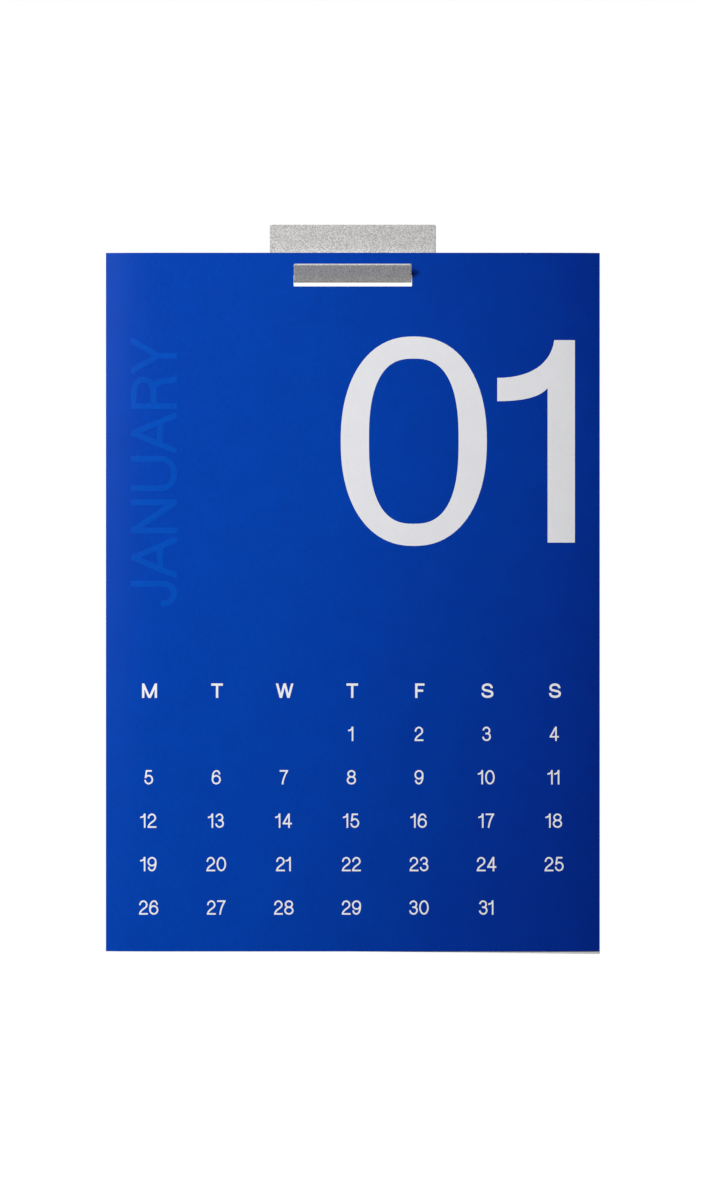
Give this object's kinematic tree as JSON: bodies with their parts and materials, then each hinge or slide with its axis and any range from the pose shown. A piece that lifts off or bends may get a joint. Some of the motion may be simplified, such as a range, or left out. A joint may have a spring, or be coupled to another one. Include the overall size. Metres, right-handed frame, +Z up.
{
  "type": "wall calendar",
  "caption": "Wall calendar: a pile of loose printed month sheets hung by a punched slot on the upturned tongue of a folded steel wall holder.",
  "frame": {"origin": "middle of the mounting pad's back face, where it meets the wall", "axes": "+Z up along the wall, +Y into the wall, the printed front faces -Y"},
  "size_m": [0.2972, 0.0132, 0.4389],
  "materials": {
    "coated_steel": "matte",
    "pad_foam": "matte",
    "printed_card": "satin",
    "white_card": "matte",
    "white_print": "satin",
    "blue_print": "satin"
  },
  "bodies": {
    "root": {"wall_holder": "coated_steel", "adhesive_pad": "pad_foam", "front_sheet": "printed_card", "following_sheets": "white_card"}
  },
  "joints": []
}
